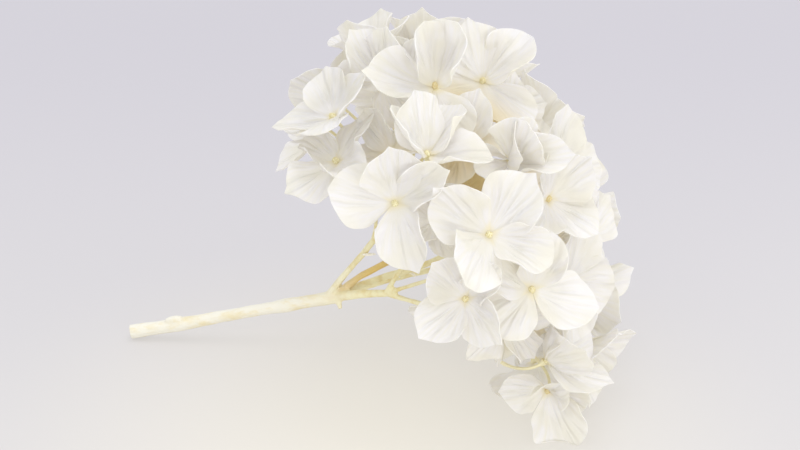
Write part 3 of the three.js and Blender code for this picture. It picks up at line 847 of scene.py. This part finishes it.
class HYDRANGEA_OT_pedicels(bpy.types.Operator):
    """Builds the thin stalk of every floret, from its branch to its eye"""

    bl_idname = "hydrangea.pedicels"
    bl_label = "Pedicels"

    def execute(self, context):
        look = context.scene.hydrangea.stalk
        material = pedicel_material(look)
        blank = pedicel_blank()
        straight = positions(blank.data)
        for node in FLORETS:
            pedicel = copy_of(blank, node.replace("floret", "pedicel"))
            place(pedicel.data, shape_pedicel(straight, Floret(node), look))
            face_outward(pedicel)
            bpy.ops.object.shade_smooth_by_angle(angle=math.radians(50))
            hand_over(pedicel, material, "branch", node)
        bpy.data.objects.remove(blank)
        return {"FINISHED"}


# ---------------------------------------------------------------- stalk


def stalk_material(look):
    """Dried, peeled hydrangea stalk: bone-white wood with buff rags of bark on the old part,
    turning to waxy straw yellow on the branches, the middle one painted darker as painted shade; fibres run
    along it."""
    made, tree = new_material("peeled_stalk")
    where = add_node(tree, "ShaderNodeTexCoord").outputs["Object"]
    forward = add_node(tree, "ShaderNodeSeparateXYZ", {"Vector": where}).outputs["X"]
    # how near the middle branch a point lies, for its painted shade
    brown = add_node(tree, "ShaderNodeAttribute", attribute_name="browned").outputs["Fac"]
    # fibres 0.7 mm wide and 6 mm long, along the lower stalk
    fibre_place = add_node(
        tree, "ShaderNodeMapping",
        {"Vector": where, "Rotation": (0.0, -0.2, 0.0), "Scale": (180.0, 1500.0, 1500.0)},
    )
    fibres = add_node(tree, "ShaderNodeTexNoise", {"Vector": fibre_place, "Scale": 1.0, "Detail": 3.0})
    # rags of bark 3 mm wide and 7 mm long
    rag_place = add_node(tree, "ShaderNodeMapping", {"Vector": where, "Scale": (150.0, 340.0, 340.0)})
    rags = add_node(
        tree, "ShaderNodeTexNoise", {"Vector": rag_place, "Scale": 1.0, "Detail": 4.0, "Roughness": 0.62}
    )
    # blotches 3 mm across
    mottle = add_node(tree, "ShaderNodeTexNoise", {"Vector": where, "Scale": 300.0, "Detail": 4.0})
    old = layered(tree, look.peeled, (rags, 0.42, 0.7, look.patch))
    young = layered(tree, look.branch, (mottle, 0.4, 0.7, look.deep))
    # painted shade on the middle branch
    young = add_node(
        tree, "ShaderNodeMix", {"Factor": brown, "A": young, "B": look.browned}, data_type="RGBA"
    )
    # the fork begins about 70 mm from the cut end
    base = layered(tree, old, (forward, -0.03, 0.0, young))
    fibre_bump = add_node(tree, "ShaderNodeBump", {"Height": fibres, "Strength": 0.45, "Distance": 0.15 * MM})
    rag_bump = add_node(
        tree, "ShaderNodeBump",
        {"Height": rags, "Strength": 0.6, "Distance": 0.3 * MM, "Normal": fibre_bump},
    )
    body = add_node(
        tree, "ShaderNodeBsdfPrincipled",
        {"Base Color": base, "Roughness": 0.55, "Specular IOR Level": 0.35, "Normal": rag_bump},
    )
    add_node(tree, "ShaderNodeOutputMaterial", {"Surface": body})
    return made


class HYDRANGEA_OT_stalk(bpy.types.Operator):
    """Grows the stem and its branches together into one forking stalk"""

    bl_idname = "hydrangea.stalk"
    bl_label = "Stalk"

    def execute(self, context):
        look = context.scene.hydrangea.stalk
        limbs = [copy_of(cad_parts[n], f"limb_{n}") for n in STALK_NODES]
        select_only(*limbs)
        bpy.ops.object.join()
        stalk = limbs[0]
        stalk.name = stalk.data.name = "stalk"
        bpy.ops.object.mode_set(mode="EDIT")
        bpy.ops.mesh.select_all(action="SELECT")
        bpy.ops.mesh.remove_doubles(threshold=1e-6)
        bpy.ops.object.mode_set(mode="OBJECT")
        grow = stalk.modifiers.new("grow over the gaps", "DISPLACE")
        grow.strength = look.closing
        grow.mid_level = 0.0
        one = stalk.modifiers.new("one growth", "REMESH")
        one.mode = "VOXEL"
        one.voxel_size = look.grain
        back = stalk.modifiers.new("back to size", "DISPLACE")
        back.strength = -look.closing
        back.mid_level = 0.0
        soft = stalk.modifiers.new("soften", "SMOOTH")
        soft.factor = 0.5
        soft.iterations = 5
        lumps = bpy.data.textures.new("stalk_lumps", "CLOUDS")
        lumps.noise_scale = 5.0 * MM
        knobs = stalk.modifiers.new("low bumps", "DISPLACE")
        knobs.texture = lumps
        knobs.texture_coords = "LOCAL"
        knobs.strength = look.knobs
        finish_modifiers(stalk)
        co = positions(stalk.data)
        co[:, 2] = np.maximum(co[:, 2], 0.0)
        place(stalk.data, co)
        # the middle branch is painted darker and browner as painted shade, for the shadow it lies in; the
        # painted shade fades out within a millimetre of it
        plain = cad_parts["branch_middle"].data
        skin = BVHTree.FromPolygons([v.co for v in plain.vertices], [p.vertices for p in plain.polygons])
        off = np.array([skin.find_nearest(Vector(p))[3] for p in co])
        mark(stalk.data, "browned", np.clip(1.3 - off / (0.7 * MM), 0, 1))
        bpy.ops.object.shade_smooth()
        hand_over(stalk, stalk_material(look), "stem", *STALK_NODES)
        return {"FINISHED"}


# ---------------------------------------------------------------- bracts


def nearest_vertex(node, place_at):
    """The vertex of a plain solid that lies nearest to a point."""
    co = positions(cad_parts[node].data)
    return co[np.linalg.norm(co - np.array(place_at), axis=1).argmin()]


def bract_material(look):
    """Dried bract: a scrap of bleached leaf, matt and fibrous; the eye sees a chalky cream curl."""
    made, tree = new_material("dried_bract")
    where = add_node(tree, "ShaderNodeTexCoord").outputs["Object"]
    # grain 0.4 mm across
    grain = add_node(tree, "ShaderNodeTexNoise", {"Vector": where, "Scale": 2600.0, "Detail": 2.0})
    base = layered(tree, look.pale, (grain, 0.35, 0.7, look.stained))
    bump = add_node(tree, "ShaderNodeBump", {"Height": grain, "Strength": 0.5, "Distance": 0.1 * MM})
    body = add_node(
        tree, "ShaderNodeBsdfPrincipled",
        {"Base Color": base, "Roughness": 0.75, "Specular IOR Level": 0.25, "Normal": bump},
    )
    add_node(tree, "ShaderNodeOutputMaterial", {"Surface": body})
    return made


def shape_bract(flat, root, look):
    """Places of the points of a narrow strip that leaves its branch at the root, arches over and hangs."""
    t = (flat[:, 1] + 1) / 2
    taper = 0.35 + 0.65 * np.sin(np.clip(t * 1.25 + 0.1, 0, 1) * math.pi)
    x = flat[:, 0] * look.bract_width / 2 * taper
    steps = np.linspace(0, 1, BRACT_ROWS + 1)
    arc = BRACT_START + BRACT_TURN * (steps[1:] + steps[:-1]) / 2
    step = look.bract_length / BRACT_ROWS
    out = np.interp(t, steps, np.concatenate([[0], np.cumsum(step * np.sin(arc))]))
    high = np.interp(t, steps, np.concatenate([[0], np.cumsum(step * np.cos(arc))]))
    # it is hollow across its width
    bow = BRACT_START + BRACT_TURN * t
    hollow = 0.25 * (x / (look.bract_width / 2)) ** 2 * look.bract_width
    out += hollow * np.cos(bow)
    high -= hollow * np.sin(bow)
    way = unit(np.array(BRACT_WAY))
    over = np.array(BRACT_OVER)
    over = unit(over - (over @ way) * way)
    return root + way * out[:, None] + over * high[:, None] + np.cross(way, over) * x[:, None]


class HYDRANGEA_OT_bracts(bpy.types.Operator):
    """Builds the curled bract, the stunted bud and the stunted spur at the forks"""

    bl_idname = "hydrangea.bracts"
    bl_label = "Bracts"

    def execute(self, context):
        look = context.scene.hydrangea.bract
        material = bract_material(look)
        bract = primitive(
            bpy.ops.mesh.primitive_grid_add, "bract", x_subdivisions=8, y_subdivisions=BRACT_ROWS, size=2
        )
        root = nearest_vertex("branch_lower_back", look.bract_at)
        place(bract.data, shape_bract(positions(bract.data), root, look))
        thicken(bract, look.bract_thickness)
        bpy.ops.object.shade_smooth_by_angle(angle=math.radians(50))
        hand_over(bract, material, "sepal")
        for name, node, setting, size, lean in STUNTED:
            bud = primitive(
                bpy.ops.mesh.primitive_uv_sphere_add, name, segments=16, ring_count=10, radius=0.5
            )
            ball = positions(bud.data)
            rng = random.Random(name)
            waves = np.sin(5 * ball[:, 0] + rng.uniform(0, 6)) * np.cos(6 * ball[:, 2] + rng.uniform(0, 6))
            lumpy = ball * (1 + 0.12 * waves)[:, None] * np.array(size)
            root = nearest_vertex(node, getattr(look, setting))
            place(bud.data, root + (lumpy + np.array(lean)) * MM)
            bpy.ops.object.shade_smooth()
            hand_over(bud, material, "branch")
        return {"FINISHED"}


# ---------------------------------------------------------------- stage


def floor_material(look):
    """Frosted acrylic made to glow as a lit table does: pale grey, with painted shade that makes it darker
    and cooler further back, and a faint tooth;
    the eye sees painted light from below, given by the surface itself with no lamp there, warmest in a
    painted pool round the lamp point, that leaves only a trace of shadow."""
    made, tree = new_material("frosted_acrylic")
    where = add_node(tree, "ShaderNodeTexCoord").outputs["Object"]
    back = add_node(tree, "ShaderNodeSeparateXYZ", {"Vector": where}).outputs["Y"]
    # a tooth about 1 mm wide
    tooth = add_node(tree, "ShaderNodeTexNoise", {"Vector": where, "Scale": 900.0, "Detail": 2.0})
    # how far each point is from the middle of the painted pool of light
    away = add_node(tree, "ShaderNodeVectorMath", {0: where, 1: look.lamp}, operation="DISTANCE")
    # painted shade: darker and cooler further back
    base = layered(tree, look.floor, (back, -0.15, 0.3, look.far_floor_shade))
    # painted light: the surface's own glow, warmer in a pool round the lamp point
    glow = layered(tree, look.lit, (away, look.lamp_reach, 0.0, look.painted_light_pool))
    bump = add_node(tree, "ShaderNodeBump", {"Height": tooth, "Strength": 0.1, "Distance": 0.05 * MM})
    body = add_node(
        tree, "ShaderNodeBsdfPrincipled",
        {
            "Base Color": base, "Roughness": 0.7, "Specular IOR Level": 0.25,
            "Emission Color": glow, "Emission Strength": 1.0, "Normal": bump,
        },
    )
    add_node(tree, "ShaderNodeOutputMaterial", {"Surface": body})
    return made


def soft_light(name, place_at, aim, size, power, tint):
    """A round soft light that faces the point it is aimed at."""
    data = bpy.data.lights.new(name, "AREA")
    data.shape = "DISK"
    data.size = size
    data.energy = power
    data.color = tint
    lamp = bpy.data.objects.new(name, data)
    lamp.location = place_at
    lamp.rotation_euler = (Vector(aim) - Vector(place_at)).to_track_quat("-Z", "Y").to_euler()
    bpy.context.scene.collection.objects.link(lamp)


class HYDRANGEA_OT_stage(bpy.types.Operator):
    """Sets the pale surface, the soft light and the camera"""

    bl_idname = "hydrangea.stage"
    bl_label = "Stage"

    def execute(self, context):
        look = context.scene.hydrangea.stage
        floor = primitive(bpy.ops.mesh.primitive_plane_add, "floor", size=FLOOR_SIZE, location=(0, 0, 0))
        floor.data.materials.append(floor_material(look))
        world = bpy.data.worlds.new("soft_room")
        world.use_nodes = True
        sky = world.node_tree.nodes["Background"]
        sky.inputs["Color"].default_value = (*look.room, 1.0)
        sky.inputs["Strength"].default_value = look.room_light
        context.scene.world = world
        for softbox in SOFTBOXES:
            soft_light(*softbox)
        aim = Vector(look.aim)
        back = Vector((0, -math.cos(look.height), math.sin(look.height)))
        data = bpy.data.cameras.new("camera")
        data.lens = look.lens
        data.sensor_width = SENSOR_MM
        data.clip_start = 0.01
        camera = bpy.data.objects.new("camera", data)
        camera.location = aim + back * look.distance
        camera.rotation_euler = (-back).to_track_quat("-Z", "Y").to_euler()
        context.scene.collection.objects.link(camera)
        context.scene.camera = camera
        context.scene.view_settings.view_transform = "Standard"
        context.scene.view_settings.gamma = look.high_key
        return {"FINISHED"}


# ---------------------------------------------------------------- panel


class HYDRANGEA_PT_panel(bpy.types.Panel):
    """Lists the steps that build the flower"""

    bl_label = "Cut Hydrangea"
    bl_idname = "HYDRANGEA_PT_panel"
    bl_space_type = "VIEW_3D"
    bl_region_type = "UI"
    bl_category = "Hydrangea"

    def draw(self, context):
        """Draws a box for each group of settings, with its steps under it."""
        settings = context.scene.hydrangea
        for group, step in PANEL_ROWS:
            box = self.layout.box()
            look = getattr(settings, group)
            for name in look.bl_rna.properties.keys():
                if name not in ("name", "rna_type"):
                    box.prop(look, name)
            for op in step:
                box.operator(op.bl_idname)


STEPS = (
    HYDRANGEA_OT_stage,
    HYDRANGEA_OT_sepals,
    HYDRANGEA_OT_buds,
    HYDRANGEA_OT_pedicels,
    HYDRANGEA_OT_stalk,
    HYDRANGEA_OT_bracts,
)
PANEL_ROWS = (
    ("stage", (HYDRANGEA_OT_stage,)),
    ("sepal", (HYDRANGEA_OT_sepals,)),
    ("bud", (HYDRANGEA_OT_buds,)),
    ("stalk", (HYDRANGEA_OT_pedicels, HYDRANGEA_OT_stalk)),
    ("bract", (HYDRANGEA_OT_bracts,)),
)
CLASSES = (
    SepalSettings,
    BudSettings,
    StalkSettings,
    BractSettings,
    StageSettings,
    HydrangeaSettings,
    *STEPS,
    HYDRANGEA_PT_panel,
)


def register():
    """Makes the settings, the steps and the panel known."""
    for c in CLASSES:
        bpy.utils.register_class(c)
    bpy.types.Scene.hydrangea = PointerProperty(type=HydrangeaSettings)


def unregister():
    """Takes them away again."""
    del bpy.types.Scene.hydrangea
    for c in reversed(CLASSES):
        bpy.utils.unregister_class(c)


def main():
    """Builds the stage and the flower."""
    register()
    bpy.ops.hydrangea.stage()
    bpy.ops.hydrangea.sepals()
    bpy.ops.hydrangea.buds()
    bpy.ops.hydrangea.pedicels()
    bpy.ops.hydrangea.stalk()
    bpy.ops.hydrangea.bracts()


if __name__ == "__main__":
    main()
